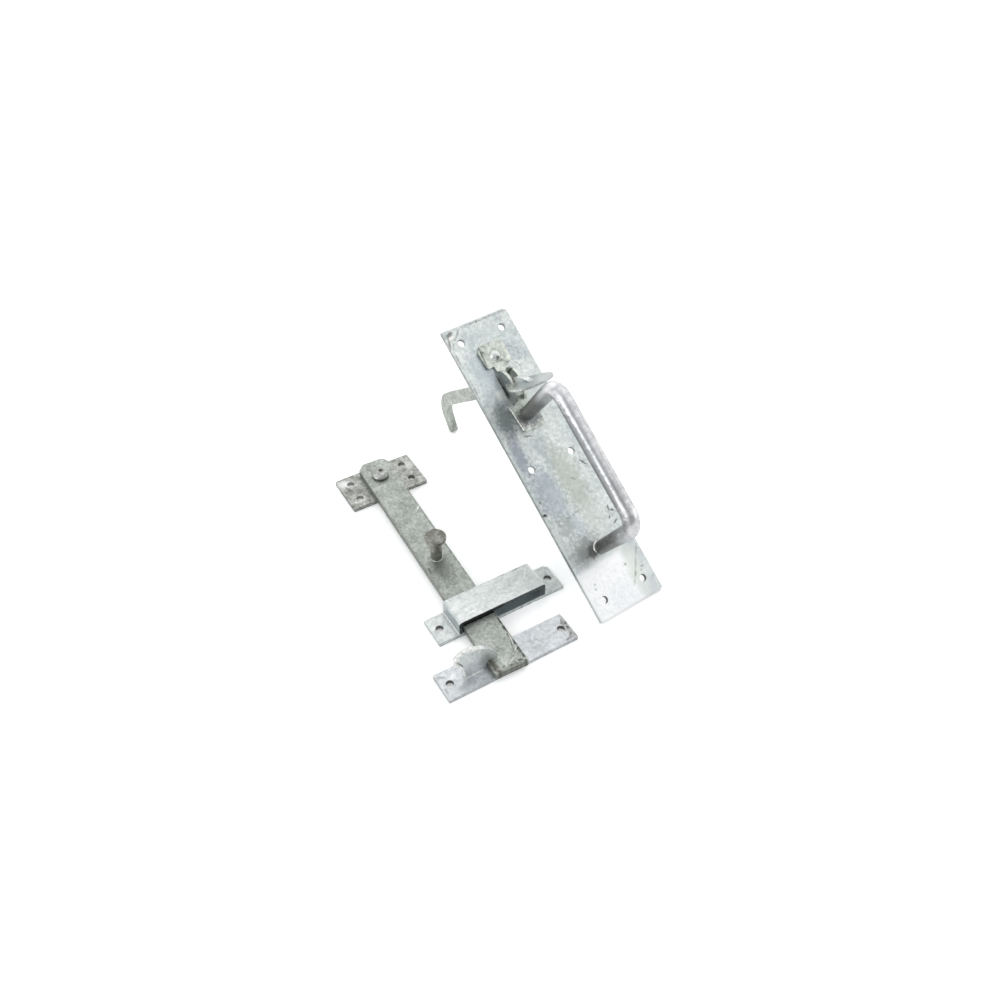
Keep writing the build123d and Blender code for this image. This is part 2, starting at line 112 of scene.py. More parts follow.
def ramp(tree, value, stops):
    """A colour from a value, by stops of position and written colour."""
    made = add(tree, "ShaderNodeValToRGB", {"Fac": value})
    stones = made.color_ramp.elements
    while len(stones) < len(stops):
        stones.new(0.5)
    for stone, (position, code) in zip(stones, stops):
        stone.position = position
        stone.color = tint(code)
    return made.outputs["Color"]


def ranged(tree, value, source, target, smooth=False):
    """A value carried from one range to another, and held at its ends."""
    return add(tree, "ShaderNodeMapRange", {
        "Value": value, "From Min": source[0], "From Max": source[1],
        "To Min": target[0], "To Max": target[1],
    }, interpolation_type="SMOOTHSTEP" if smooth else "LINEAR").outputs["Result"]


def mixed(tree, factor, under, over, blend="MIX"):
    """One colour laid over another by a factor."""
    return add(tree, "ShaderNodeMix", {"Factor": factor, 6: under, 7: over},
               data_type="RGBA", blend_type=blend).outputs[2]


def scaled(tree, vector, gain):
    """A vector or colour times a number."""
    return add(tree, "ShaderNodeVectorMath", {0: vector, "Scale": gain},
               operation="SCALE").outputs["Vector"]


def maths(tree, operation, *inputs):
    """The result of an operation on numbers."""
    return add(tree, "ShaderNodeMath", dict(enumerate(inputs)), operation=operation).outputs[0]


def vectors(tree, operation, *inputs):
    """The result of an operation on vectors: a number where it gives one, or else a vector."""
    made = add(tree, "ShaderNodeVectorMath", dict(enumerate(inputs)), operation=operation)
    gives_number = operation in ("DOT_PRODUCT", "DISTANCE", "LENGTH")
    return made.outputs["Value" if gives_number else "Vector"]


# ---------------------------------------------------------------- galvanised steel

METAL = 0.85
SEED_STEP = (1, 1.7, 0.6)
CLOUD_NOISE = (4, 0.62, 0.8)  # detail, roughness and distortion
FINE_NOISE = (5, 0.68, 0.4)
DROSS_NOISE = (2, 0.5, 0.0)
CLOUD_STOPS = (0.32, 0.5, 0.7)
FINE_SPAN = (0.3, 0.7)  # nearly all values of the fine mottle lie between these
VEIL = (0.94, 1.07)  # how much of the fine mottle shows through the marks
SHADED_FACE_SPAN = (0.75, 0.95)  # how squarely a face has to look the given way to be painted in shade
SIDE_SPAN = (0.85, 0.3)  # how far a face has to turn from its plane to be a side
DROSS_SPAN = (0.7, 0.78)
DROSS_COVER = 0.75
DROSS_TINT = "#4b4f4c"
# how near a screw hole's middle its wall is painted darker as painted shade, and that colour
BORE_REACH = 2.9
BORE_SHADE = "#686b69"
FINE_LUMP = 0.0006
CLOUD_LUMP = 0.0012


def zinc(name, place, tones, cloud=16, mottle=3.2, speck=0.7, shine=(0.3, 0.5), marks=(),
         lumps=0.1, rim="#8f9390", rim_cover=0.5, grain=(0.8, 1.14), shaded_face=None, bores=(),
         seed=0.0):
    """Steel dipped in molten zinc: dull grey clouds with a blue or green cast where the coat
    cooled slowly, finer mottle over them, dark pin specks of dross, and a slightly lumpy skin.

    place is the piece's own plane, and all sizes are in millimetres. tones are the dark, middle
    and light colour of the clouds. cloud, mottle and speck are the sizes of the three patterns,
    and seed moves them. grain is how dark and how light the mottle makes the clouds, and shine
    is the roughness of its light and dark parts. marks are laid over that as stain takes them;
    some are stains and some are painted light and shade. The one direction given with a cover
    and a colour paints the faces that look that way in that colour, as painted shade. rim tints
    all faces that turn away from the plane, by rim_cover. bores are the middles of the screw
    holes, whose walls are painted darker as shade. lumps is the strength of the skin's relief."""
    material = bpy.data.materials.new(name)
    material.use_nodes = True
    tree = material.node_tree
    surface = tree.nodes["Principled BSDF"]
    around = add(tree, "ShaderNodeTexCoord").outputs
    facing = around["Normal"]
    local = add(tree, "ShaderNodeMapping", {
        "Vector": around["Object"], "Location": place.to_translation(),
        "Rotation": place.to_euler(), "Scale": (MM, MM, MM),
    }, vector_type="TEXTURE").outputs["Vector"]
    shifted = vectors(tree, "ADD", local, tuple(seed * step for step in SEED_STEP))

    def pattern(size, detail, roughness, distortion):
        return add(tree, "ShaderNodeTexNoise", {
            "Vector": shifted, "Scale": 1 / size, "Detail": detail, "Roughness": roughness,
            "Distortion": distortion,
        }).outputs["Fac"]

    clouds = pattern(cloud, *CLOUD_NOISE)
    fine = pattern(mottle, *FINE_NOISE)
    dross = pattern(speck, *DROSS_NOISE)
    colour = ramp(tree, clouds, list(zip(CLOUD_STOPS, tones)))
    colour = scaled(tree, colour, ranged(tree, fine, FINE_SPAN, grain))
    # faces that look the given way are painted darker, as painted shade
    if shaded_face:
        toward, cover, code = shaded_face
        along = vectors(tree, "DOT_PRODUCT", facing, toward)
        painted_shade = ranged(tree, along, SHADED_FACE_SPAN, (0.0, cover))
        colour = mixed(tree, painted_shade, colour, tint(code))
    for mark in marks:
        colour = stain(tree, local, fine, colour, *mark)
    colour = scaled(tree, colour, ranged(tree, fine, FINE_SPAN, VEIL))
    pins = ranged(tree, dross, DROSS_SPAN, (0.0, DROSS_COVER))
    colour = mixed(tree, pins, colour, tint(DROSS_TINT))
    level = vectors(tree, "DOT_PRODUCT", facing, place.to_3x3().col[2])
    sideways = ranged(tree, maths(tree, "ABSOLUTE", level), SIDE_SPAN, (0.0, 1.0))
    dulled = maths(tree, "MULTIPLY", sideways, rim_cover)
    colour = mixed(tree, dulled, colour, tint(rim), "MULTIPLY")
    flat = vectors(tree, "MULTIPLY", local, (1, 1, 0))
    # the walls of the screw holes are painted darker, as painted shade
    for x, y in bores:
        near = maths(tree, "LESS_THAN", vectors(tree, "DISTANCE", flat, (x, y, 0)), BORE_REACH)
        inside = maths(tree, "MULTIPLY", near, sideways)
        colour = mixed(tree, inside, colour, tint(BORE_SHADE))
    skin = add(tree, "ShaderNodeBump", {
        "Height": fine, "Strength": lumps, "Distance": FINE_LUMP,
    }).outputs["Normal"]
    skin = add(tree, "ShaderNodeBump", {
        "Height": clouds, "Strength": lumps, "Distance": CLOUD_LUMP, "Normal": skin,
    }).outputs["Normal"]
    roughness = ranged(tree, fine, FINE_SPAN, (shine[1], shine[0]))
    tree.links.new(colour, surface.inputs["Base Color"])
    tree.links.new(roughness, surface.inputs["Roughness"])
    tree.links.new(skin, surface.inputs["Normal"])
    surface.inputs["Metallic"].default_value = METAL
    return material


MARK_DEPTH = 1e6  # a mark reaches right through its piece
EDGE_AT = 0.85  # where a mark's edge lies, as a share of its size
EDGE_RAGGED = 1.6  # how far the fine mottle moves the edge of a soft mark
EDGE_FADE = 0.45  # how wide the edge of a soft mark is, to each side


def stain(tree, local, fine, under, x, y, long, wide, slant, cover, code, soft=1.0,
          square=False):
    """Lays one soft-edged mark over a colour: its middle, half length, half width and slant on
    the piece's own plane in millimetres and degrees, how much it covers, its colour, and how
    soft and ragged its edge is. A square mark has straight sides."""
    shape = add(tree, "ShaderNodeMapping", {
        "Vector": local, "Location": (x, y, 0), "Rotation": (0, 0, radians(slant)),
        "Scale": (long, wide, MARK_DEPTH),
    }, vector_type="TEXTURE").outputs["Vector"]
    if square:
        corner = vectors(tree, "ABSOLUTE", shape)
        sides = add(tree, "ShaderNodeSeparateXYZ", {"Vector": corner}).outputs
        away = maths(tree, "MAXIMUM", sides["X"], sides["Y"])
    else:
        away = vectors(tree, "LENGTH", shape)
    ragged = maths(tree, "MULTIPLY_ADD", fine, EDGE_RAGGED * soft, away)
    edge = EDGE_AT + EDGE_RAGGED / 2 * soft
    fade = (edge + EDGE_FADE * soft, edge - EDGE_FADE * soft)
    mask = ranged(tree, ragged, fade, (0.0, cover), smooth=True)
    return mixed(tree, mask, under, tint(code))


def shade_toward_foot(material, place, start, end, cover, code):
    """Darkens a finish towards the foot of a piece, between two heights over its own plane, as
    painted shade.
    """
    tree = material.node_tree
    skin = tree.nodes["Principled BSDF"].inputs["Base Color"]
    spot = add(tree, "ShaderNodeTexCoord").outputs["Object"]
    upright = place.to_3x3().col[2]
    foot = place.to_translation().dot(upright)
    rise = vectors(tree, "DOT_PRODUCT", spot, upright)
    mask = ranged(tree, rise, (foot + start * MM, foot + end * MM), (0.0, cover), smooth=True)
    under = skin.links[0].from_socket
    tree.links.new(mixed(tree, mask, under, tint(code), "MULTIPLY"), skin)


def middle(corners):
    """The middle of a box in the plane of the table, in millimetres."""
    return [(low + high) / 2 / MM for low, high in zip(*corners)][:2]


guide_x, guide_y = middle(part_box("guide_bridge"))
keep_x, keep_y = middle(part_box("keep_plate"))

# Half the distance between the screw holes of each plate, and how far up the plate they stand.
PLATE_HOLES_OUT, PLATE_HOLES_UP = 15.75, 11.3
GUIDE_HOLES_OUT = 39.4
KEEP_HOLES_OUT = 38.95

# Each mark is written as stain takes it: x, y, half length, half width, slant, cover, colour.
# Some also say how soft the edge is, and whether the mark is square.
plate_marks = [
    # where the coat cooled slowly: broad blue, green and clear clouds
    (-13, 86, 22, 10, 88, 0.55, "#9ea8b3"), (5, 88, 30, 10, 92, 0.7, "#b8bfb6"),
    (-19, 116, 18, 5, 84, 0.7, "#929aa8"), (-14, 62, 9, 6, 70, 0.5, "#9aa19f"),
    # near the foot of the plate: white patches that are a painted reflection of a lamp, and a
    # blue-grey cloud
    (-7, 16, 21, 20, 2, 0.78, "#fdfdff", 0.24, True), (3, 24, 16, 10, 0, 0.5, "#fbfcfc", 0.7),
    (-6, 13, 22, 20, 0, 0.7, "#ffffff", 2.2), (-2, 9, 17, 12, 0, 0.22, "#bcc8cc", 2.6),
    # more clouds where the coat cooled slowly
    (14, 19, 20, 6, 84, 0.6, "#dfe5dc"), (-6, 60, 10, 5, 85, 0.5, "#c3cad0"),
    (6, 57, 14, 9, 80, 0.5, "#d6dad4"), (14, 150, 14, 7, 80, 0.5, "#cfd6d4"),
    (-13, 172, 22, 8, 85, 0.5, "#bcc6cc"), (5, 197, 16, 7, 0, 0.5, "#c8d0d0"),
    # painted shade and painted dark reflections of the legs and the bracket on the plate, a pale
    # patch by the bracket, and a painted shadow along the foot of the bracket's left ear
    (-10, 44, 13, 9, 25, 0.6, "#888a89", 0.9), (-5.5, 41.5, 7, 4.6, 25, 0.75, "#6c6b69", 0.8),
    (-15, 140, 13, 7, 80, 0.75, "#7f8889"), (-5, 157, 6, 2, 84, 0.8, "#74787b"),
    (-9.4, 156.2, 4.2, 3.4, 84, 0.7, "#eceeeb", 0.55, True),
    (-5.3, 159, 11, 0.8, 91, 0.95, "#3a3e3c"),
    # scratches and dross
    (16.5, 22, 4.5, 0.8, 58, 0.5, "#8b938e"), (12.8, 16.4, 2.6, 0.9, 60, 0.6, "#7d8580"),
    (9.4, 11.8, 3, 0.7, 55, 0.4, "#959c97"), (19.2, 18.2, 1.5, 0.8, 0, 0.55, "#7d8580"),
    (17.8, 16.4, 1.2, 0.7, 40, 0.5, "#8b938e"), (-16.5, 22.3, 0.9, 0.7, 0, 0.5, "#a9b0ac"),
    (-17.7, 19.4, 1.0, 0.8, 0, 0.5, "#a9b0ac"), (22.6, 9, 1.6, 0.8, 40, 0.5, "#98a09b"),
    (14.5, 183, 4, 0.6, -35, 0.5, "#98a09d"), (18.3, 176, 4, 0.5, -65, 0.5, "#98a09d"),
    (21.5, 29, 5, 0.8, 52, 0.5, "#979e99"), (9.6, 24.2, 1, 0.9, 0, 0.6, "#8a908c"),
    (-23.6, 75, 1.6, 1, -20, 0.95, "#2b2e2b"), (-22, 83.5, 1.3, 0.8, 80, 0.7, "#636864"),
    (18.4, 95.5, 2, 0.8, -55, 0.85, "#4c524e"), (20.2, 92.8, 1.5, 0.6, -50, 0.8, "#5c625e"),
    (6.5, 88, 2.6, 0.5, -45, 0.6, "#8d948f"), (1, 91, 1.6, 0.6, 0, 0.4, "#9aa19c"),
    (18.7, 61.6, 2.2, 0.7, 75, 0.85, "#474c48"), (20.3, 58.6, 1.7, 0.7, -40, 0.85, "#474c48"),
    (16.3, 55.2, 1.3, 0.7, 60, 0.8, "#555a56"), (18.4, 51.2, 2.1, 0.6, 30, 0.8, "#555a56"),
    (-21, 205.5, 4, 1.4, 20, 0.75, "#6d716c"), (-23.4, 201, 5, 0.8, 75, 0.7, "#747872"),
    (-16, 203.8, 5, 0.8, 40, 0.6, "#828781"), (-22, 198, 3, 0.8, 60, 0.5, "#828781"),
    (-20.6, 203.2, 2.6, 1.2, 20, 0.8, "#efece7"), (4, 207.4, 22, 0.7, 0, 0.5, "#8f9691"),
    (0.8, 207, 1.2, 0.7, 80, 0.7, "#6b706c"),
    (12.6, 171, 4, 0.5, -62, 0.6, "#878e8b"), (9.4, 175.6, 3, 0.5, -20, 0.5, "#878e8b"),
    # worn edges, and lines left by the rolling
    (-23.8, 188, 5, 0.8, 88, 0.5, "#858a85"), (-23.8, 165, 7, 0.7, 88, 0.5, "#858a85"),
    (-6, 124.6, 3.4, 0.6, -20, 0.7, "#686d69"), (-13, 69, 5, 0.4, -35, 0.6, "#878d89"),
    (-5, 67.6, 7, 0.4, 8, 0.5, "#8d9490"), (9, 58, 6, 0.3, -25, 0.4, "#9aa09b"),
]
plate_zinc = zinc("hot-dip galvanised steel sheet", handle_place,
                  ("#c0c8cb", "#d5dcda", "#e4e9e7"), cloud=20, mottle=2.3, speck=1.0,
                  shine=(0.34, 0.5), lumps=0.04, grain=(0.8, 1.1),
                  bores=((-PLATE_HOLES_OUT, PLATE_HOLES_UP), (PLATE_HOLES_OUT, PLATE_HOLES_UP)),
                  # the faces at the foot of the plate, looking down it, are painted darker as
                  # painted shade
                  shaded_face=((0.058, -0.833, -0.55), 0.85, "#7c7c74"), marks=plate_marks)
bracket_marks = [
    # a painted highlight on the right ear and along the lower tab's left edge, painted shade in
    # the gaps by the ears and round the top tab, and a painted reflection of the leg on the lower
    # tab
    (3.6, 158, 13, 1.9, 90, 0.9, "#dde1da", 0.4), (2.7, 167.8, 1.2, 1.0, 0, 0.8, "#4a4d49"),
    (9.2, 168.6, 1.6, 0.8, 0, 0.7, "#5d605b"), (7.0, 167.2, 1.4, 0.7, 30, 0.6, "#6b6e69"),
    (-8.6, 183, 9, 0.8, 84, 0.8, "#62665f"), (-7.6, 136.5, 8.4, 0.7, 95, 0.95, "#f6f3ea"),
    (1, 136, 11, 8, 0, 0.85, "#77787c"), (0.5, 176.8, 4, 0.9, 0, 0.7, "#70736e"),
    (-7.2, 186, 1.4, 1.1, 0, 0.7, "#6d716b"),
]
bracket_zinc = zinc("hot-dip galvanised pressed bracket", handle_place,
                    ("#b0b6ae", "#d0d6ce", "#e6ebe3"), cloud=9, mottle=2.0,
                    shine=(0.3, 0.45), rim_cover=0.15, grain=(0.72, 1.15),
                    # the faces that look left are painted darker, as painted shade
                    shaded_face=((-0.9976, -0.0694, 0), 0.6, "#7b8082"), seed=40, marks=bracket_marks)
# the dark spot low on the bracket rivet's head is painted shade
rivet_zinc = zinc("galvanised rivet head", handle_place, ("#b9bdba", "#dfe2df", "#f1f3f1"),
                  cloud=4, mottle=1.5, shine=(0.2, 0.32), seed=12,
                  marks=[(0.3, 179.0, 1.5, 1.3, 0, 0.9, "#565855")])
grip_light_and_shade = [
    # painted shade along the left side of the long bar and a painted highlight along its right,
    # painted highlights on both elbows, painted shade by the lower elbow, and thin dark lines of
    # painted reflection along the bar
    (-5.1, 88, 44, 1.3, 90, 0.75, "#7d8082", 0.5), (5.2, 96, 34, 1.4, 90, 0.6, "#f4f4f5", 0.6),
    (-2.6, 139, 3.4, 2.2, 20, 0.8, "#fbfbfb"),
    (-2.5, 60, 14, 2.4, 90, 0.5, "#a3a2a1"), (-3, 46, 5, 3, 30, 0.55, "#8c8b8c"),
    (0.5, 80, 26, 0.5, 90, 0.4, "#9c9790"), (1.5, 104, 16, 0.4, 90, 0.3, "#a19c95"),
    (1.4, 48.6, 3.8, 1.7, 75, 0.8, "#ffffff", 0.8),
]
grip_zinc = zinc("hot-dip galvanised round bar", handle_place, ("#c6c7c9", "#d3d4d6", "#dedfe0"),
                 cloud=14, mottle=3.0, shine=(0.3, 0.4), lumps=0.05, rim_cover=0, seed=77,
                 marks=grip_light_and_shade)
# the legs of the handle are darker towards the plate: a painted dark reflection of the plate near
# their feet
shade_toward_foot(grip_zinc, handle_place, start=44, end=26, cover=0.8, code="#828079")
lever_marks = [
    (4, 151, 15, 7, 0, 0.6, "#b0b8bc"), (0, 184, 30, 14, 0, 0.4, "#aeb3ac"),
    # a painted highlight on the root of the pad
    (0, 157.2, 3.2, 4.4, 0, 0.95, "#fdfdfc"), (0.8, 165, 3.4, 3.4, 0, 0.9, "#fdfdfc"),
    (-1, 172, 6, 3, 70, 0.5, "#868a83"),
]
lever_zinc = zinc("hot-dip galvanised forged lever", handle_place,
                  ("#8f9590", "#b9bfba", "#dadeda"), cloud=6, mottle=1.7, shine=(0.22, 0.36),
                  rim_cover=0, grain=(0.68, 1.2), seed=23, marks=lever_marks)
bar_marks = [
    # a painted shadow of the knob and a pale scratch, then dark lines along both edges and dark
    # spots by the knob and the pivot
    (98, 0, 12, 7, 0, 0.65, "#878b84"), (41, 9.4, 2.6, 0.7, -40, 0.9, "#eef0eb"),
    (70, 10.3, 55, 0.5, 0, 0.55, "#777b74"), (60, -10.5, 60, 0.4, 0, 0.4, "#80847d"),
    (96, -9, 3, 0.7, -8, 0.8, "#5e625b"), (-4.8, 4, 2, 1.4, 0, 0.5, "#77776f"),
    (-9, -5, 2.4, 1.2, 60, 0.6, "#6f716a"), (-11, 0.5, 1.2, 0.8, 0, 0.6, "#6f716a"),
    # scratches and pits at the toe
    (177, 8, 3.5, 0.5, -38, 0.9, "#e8eae4"), (181.5, 3.6, 3.4, 0.45, -62, 0.7, "#dfe2db"),
    (178.4, 6.8, 3.6, 0.4, -45, 0.7, "#656862"), (160, 10.4, 14, 0.7, 0, 0.7, "#63665f"),
    (184.4, 7, 1.6, 0.9, 70, 0.75, "#4a4c46"), (185, 1, 2.4, 0.8, 85, 0.7, "#55574f"),
    (184, -4, 1.4, 0.8, 100, 0.65, "#5a5c54"), (186.4, 9.6, 1.3, 0.8, 0, 0.8, "#43453f"),
    (186.6, 0, 14, 1.2, 90, 0.5, "#75746c"), (185.6, 4, 1.3, 0.7, 0, 0.7, "#4c4d46"),
    (186.2, -8, 1.8, 1.2, 0, 0.7, "#575248"), (180, -8.6, 6, 2.6, 5, 0.75, "#726f66"),
    # dark crumbs along one edge
    (153, 10.5, 3, 1.0, 3, 0.8, "#4a4c47"), (159, 10.1, 2.6, 1.2, -6, 0.85, "#454742"),
    (165.5, 10.2, 2.2, 1.3, 8, 0.85, "#4a4c47"), (171.8, 10.5, 2.4, 1.1, -3, 0.85, "#454742"),
    (177.5, 10.1, 2.4, 1.3, 4, 0.85, "#454742"), (182.6, 10.2, 1.8, 1.2, 0, 0.85, "#454742"),
    # scratches beside it
    (168, 9.6, 5, 0.6, -12, 0.8, "#e6e8e2"), (171, 8.4, 6, 0.5, -15, 0.7, "#5f625b"),
    # the shade under the bridge
    (136, 0, 11.7, 30, 2, 1.0, "#20211f", 0.12, True),
    (176, -9.6, 9, 1.6, 4, 0.7, "#5a5b55"), (172, -2, 2, 1.1, 30, 0.5, "#85897f"),
    (152, 4, 2.4, 0.7, 60, 0.5, "#84887f"), (166, 6.5, 2.4, 0.5, -30, 0.5, "#84887f"),
]
bar_zinc = zinc("hot-dip galvanised flat bar", bar_place, ("#a3a8a2", "#b3b8b2", "#c2c6c0"),
                cloud=9, mottle=1.8, speck=0.6, shine=(0.42, 0.58), grain=(0.7, 1.2),
                rim="#9a9b95", rim_cover=0.6, seed=5, marks=bar_marks)
pivot_marks = [
    (-9, -24, 6, 4, 60, 0.85, "#e9ebe8"), (-2, -23, 5, 0.9, 20, 0.8, "#6f706c"),
    (9, -19, 4, 3, 0, 0.7, "#dfe1de"), (2, -17, 3, 2, 40, 0.6, "#7d7e79"),
    (-6, 24, 5, 3, 0, 0.6, "#dcdfdb"), (5, 21, 6, 1, 60, 0.7, "#7a7b76"),
]
pivot_zinc = zinc("hot-dip galvanised pivot plate", bar_place, ("#868782", "#afb1ac", "#d2d5d0"),
                  cloud=4, mottle=1.3, shine=(0.35, 0.5), grain=(0.62, 1.24), seed=91,
                  marks=pivot_marks)
pin_marks = [
    # a darker spot in the dimple, and painted shade on one side of the head
    (-2.7, 1.7, 2.0, 1.8, 0, 0.8, "#6a6964"), (3.6, 2.4, 3.4, 0.8, -55, 0.6, "#7d7d78"),
]
pin_zinc = zinc("galvanised pivot rivet", bar_place, ("#8f928e", "#b2b5b1", "#d2d4d1"),
                cloud=4, mottle=1.3, shine=(0.24, 0.38), rim="#8a8a84", rim_cover=0.8,
                grain=(0.72, 1.12), seed=33, marks=pin_marks)
knob_zinc = zinc("galvanised turned knob", bar_place, ("#6c6d64", "#8b8b84", "#acada7"),
                 cloud=4, mottle=1.2, shine=(0.36, 0.5), rim_cover=0, grain=(0.7, 1.2), seed=31)
guide_marks = [
    # the shade under the bridge, deepest on the left
    (guide_x, guide_y, 35.3, 12.0, 0, 1.0, "#a0aaad", 0.04, True),
    (guide_x - 22, guide_y, 9, 12.0, 0, 0.8, "#3f4647", 0.3, True),
]
guide_zinc = zinc("hot-dip galvanised guide strip", table_place,
                  ("#c3cacb", "#d8dddb", "#e3e8e6"), cloud=12, mottle=3.0, shine=(0.32, 0.46),
                  rim="#d5dadb", rim_cover=0.6, seed=61, marks=guide_marks,
                  bores=[(guide_x + out, guide_y) for out in (-GUIDE_HOLES_OUT, GUIDE_HOLES_OUT)])
bridge_marks = [
    # painted shade on the left part of the opening's front edge, then scratches and bright streaks
    (guide_x - 14, guide_y - 11.3, 17, 1.4, 0, 0.85, "#191b1b", 0.3, True),
    (guide_x + 21, guide_y + 9.6, 2.4, 0.5, 4, 0.7, "#7b817a"),
    (guide_x + 10, guide_y + 9.9, 3, 0.4, -3, 0.5, "#8c928b"),
    (guide_x - 14, guide_y + 9.8, 4, 0.4, 2, 0.5, "#959b94"),
    (guide_x + 4, guide_y - 3, 6, 0.35, -18, 0.5, "#a6aca8"),
    (guide_x + 12, guide_y + 2, 5, 0.35, 65, 0.5, "#a6aca8"),
    (guide_x + 24, guide_y + 3, 4, 0.4, 50, 0.7, "#f8f9f8"),
    (guide_x - 20, guide_y - 6, 5, 0.5, 10, 0.6, "#f8f9f8"),
]
bridge_zinc = zinc("hot-dip galvanised folded bridge", table_place,
                   ("#cbd1cf", "#d9dedc", "#e7eae9"), cloud=10, mottle=2.2, shine=(0.32, 0.46),
                   # the faces that look forward are painted dark, as painted shade
                   rim="#b9c2c7", rim_cover=0.6, shaded_face=((0, -1, 0), 0.95, "#3f474a"),
                   grain=(0.87, 1.09), seed=66, marks=bridge_marks)
keep_marks = [
    # dross by the bar's toe, then stains round the left screw hole
    (9.4, -99.5, 10, 2.4, 88, 0.6, "#a3a29f"),
    (7.8, -95, 2.2, 1, 60, 0.8, "#84827d"), (9, -100, 1.6, 0.8, 80, 0.85, "#64625d"),
    (8, -105, 2.2, 0.9, 30, 0.8, "#7a7872"), (5, -107.6, 3.4, 0.8, 8, 0.7, "#85837e"),
    (9.6, -96.6, 1.3, 0.7, 0, 0.85, "#5d5b56"), (6.6, -101.6, 1.2, 0.6, 40, 0.7, "#8d8b86"),
    (-76, -92.4, 4, 1.4, -20, 0.5, "#9b9c9a"), (-77.4, -103, 5, 0.8, 80, 0.5, "#a2a5a5"),
    (-70, -95.6, 4, 1.6, 25, 0.6, "#f5f6f7"), (-62, -104, 7, 3, 12, 0.4, "#aab0b4"),
]
keep_zinc = zinc("hot-dip galvanised keep", table_place, ("#bfc3c6", "#d3d7da", "#e3e6e9"),
                 cloud=8, mottle=2.2, shine=(0.34, 0.48), rim_cover=0.4, grain=(0.87, 1.09),
                 seed=83, marks=keep_marks,
                 bores=[(keep_x + out, keep_y) for out in (-KEEP_HOLES_OUT, KEEP_HOLES_OUT)])
nib_zinc = zinc("hot-dip galvanised nib", table_place, ("#d3d8d8", "#e6e9e8", "#f2f4f3"),
                cloud=7, mottle=1.7, shine=(0.34, 0.48), rim="#c8cfd3", rim_cover=0.45, seed=85)
bead_zinc = zinc("beads of run zinc", table_place, ("#d9dbd6", "#eceeea", "#f7f8f5"),
                 cloud=3, mottle=1.1, shine=(0.24, 0.38), rim_cover=0, seed=19)
crumb_zinc = zinc("crumbs of dull run zinc", table_place, ("#8f8f89", "#b3b3ae", "#d3d4d0"),
                  cloud=2.4, mottle=1.0, shine=(0.4, 0.55), rim_cover=0, seed=27)

finishes = {
    "handle_plate": plate_zinc, "thumb_bracket": bracket_zinc, "bracket_rivet": rivet_zinc,
    "lever_pin": rivet_zinc, "pull_handle": grip_zinc, "thumb_lever": lever_zinc,
    "latch_bar": bar_zinc, "pivot_plate": pivot_zinc, "pivot_rivet": pin_zinc,
    "bar_knob": knob_zinc, "guide_plate": guide_zinc, "guide_bridge": bridge_zinc,
    "keep_plate": keep_zinc, "keep_nib": nib_zinc,
}
for piece_name, finish in finishes.items():
    piece_mesh = nodes[piece_name].data
    piece_mesh.materials.clear()
    piece_mesh.materials.append(finish)


# ---------------------------------------------------------------- run zinc

RING_STEPS, RING_SIDES = 40, 10
RING_LUMPS_CLOSE, RING_LUMPS_HIGH = 2.1, 0.45
RING_THINNEST = 0.15
BALL_LUMPS_CLOSE, BALL_LUMPS_HIGH = 1.6, 0.3
BALL_LUMPS_APART = 3.7


def bead_ring(name, place, at, radius, swelling, body):
    """The collar of run zinc where a round foot meets its plate: a lumpy ring in millimetres,
    thickest at one side. swelling is its half thickness there, that side's angle, and how far
    to each side it stays thick, in degrees."""
    thick, side, spread = swelling
    centre = Vector(at)
    mesh = bmesh.new()
    rows = []
    for i in range(RING_STEPS):
        turn = 2 * pi * i / RING_STEPS
        out = Vector((cos(turn), sin(turn), 0))
        off = abs((turn - radians(side) + pi) % (2 * pi) - pi) / radians(spread)
        lump = 1 + RING_LUMPS_HIGH * noise.noise(out * RING_LUMPS_CLOSE + centre)
        swell = thick * lump * max(RING_THINNEST, 1 - off ** 4)
        rows.append([
            mesh.verts.new(centre + out * (radius + swell * cos(2 * pi * j / RING_SIDES))
                           + Vector((0, 0, swell * sin(2 * pi * j / RING_SIDES))))
            for j in range(RING_SIDES)
        ])
    for i in range(RING_STEPS):
        for j in range(RING_SIDES):
            k, n = (i + 1) % RING_STEPS, (j + 1) % RING_SIDES
            mesh.faces.new((rows[i][j], rows[k][j], rows[k][n], rows[i][n]))
    settle(name, mesh, place, body)


def bead_line(name, place, spots, body, finish=bead_zinc):
    """Lumps of run zinc: each one's middle and half sizes in millimetres, from a rough ball."""
    mesh = bmesh.new()
    for index, (x, y, z, half_x, half_y, half_z) in enumerate(spots):
        shift = Vector((index * BALL_LUMPS_APART, 0, 0))
        for vert in bmesh.ops.create_icosphere(mesh, subdivisions=3, radius=1)["verts"]:
            swell = 1 + BALL_LUMPS_HIGH * noise.noise(vert.co * BALL_LUMPS_CLOSE + shift)
            vert.co = Vector((x, y, z)) + vert.co * Vector((half_x, half_y, half_z)) * swell
    settle(name, mesh, place, body, finish)


def settle(name, mesh, place, body, finish=bead_zinc):
    """Finishes a piece of run zinc: into metres and place, smooth, dressed, and on its body."""
    bmesh.ops.transform(mesh, matrix=place @ Matrix.Scale(MM, 4), verts=mesh.verts)
    bmesh.ops.recalc_face_normals(mesh, faces=mesh.faces)
    for face in mesh.faces:
        face.smooth = True
    data = bpy.data.meshes.new(name)
    mesh.to_mesh(data)
    mesh.free()
    data.materials.append(finish)
    piece = bpy.data.objects.new(name, data)
    bpy.context.collection.objects.link(piece)
    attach(piece, body)


bead_ring("lower_foot_bead", handle_place, at=(0, 41, 3.1), radius=4.6,
          swelling=(0.7, 145, 60), body="fixed_set")
bead_ring("knob_foot_bead", bar_place, at=(88, 0, 5.05), radius=3.6,
          swelling=(0.32, -20, 110), body="bar")

